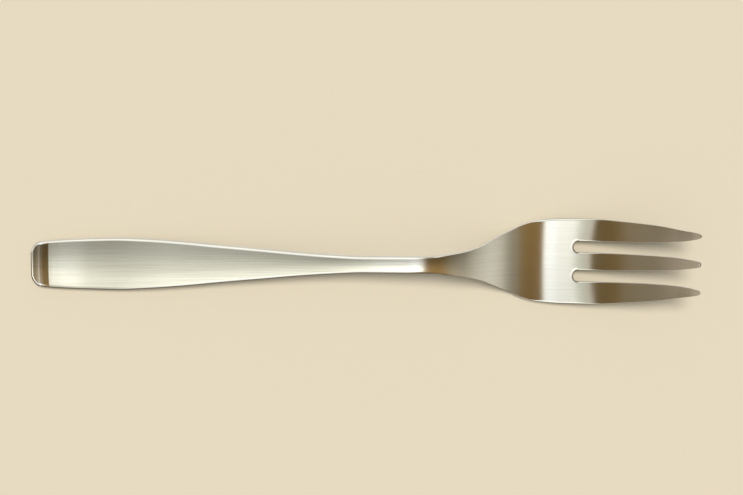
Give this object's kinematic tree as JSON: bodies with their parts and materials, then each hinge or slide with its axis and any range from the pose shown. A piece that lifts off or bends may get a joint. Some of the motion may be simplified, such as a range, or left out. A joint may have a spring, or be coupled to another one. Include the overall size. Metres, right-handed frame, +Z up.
{
  "type": "pastry fork",
  "caption": "Slim satin steel pastry fork with a crowned handle, a narrow raised neck and a flat curved head that splits into pointed tines.",
  "frame": {"origin": "middle of the fork's length and width, on the surface that it rests on", "axes": "+X runs along the fork from the handle's end to the tine tips, +Z is up out of the fork's upper face"},
  "size_m": [0.15, 0.0196, 0.0113],
  "materials": {
    "satin_steel": "satin, brushed along the fork"
  },
  "bodies": {
    "root": {"handle_end": "satin_steel", "handle": "satin_steel", "neck": "satin_steel", "shoulder": "satin_steel", "head": "satin_steel", "tine_left": "satin_steel", "tine_middle": "satin_steel", "tine_right": "satin_steel"}
  },
  "joints": []
}
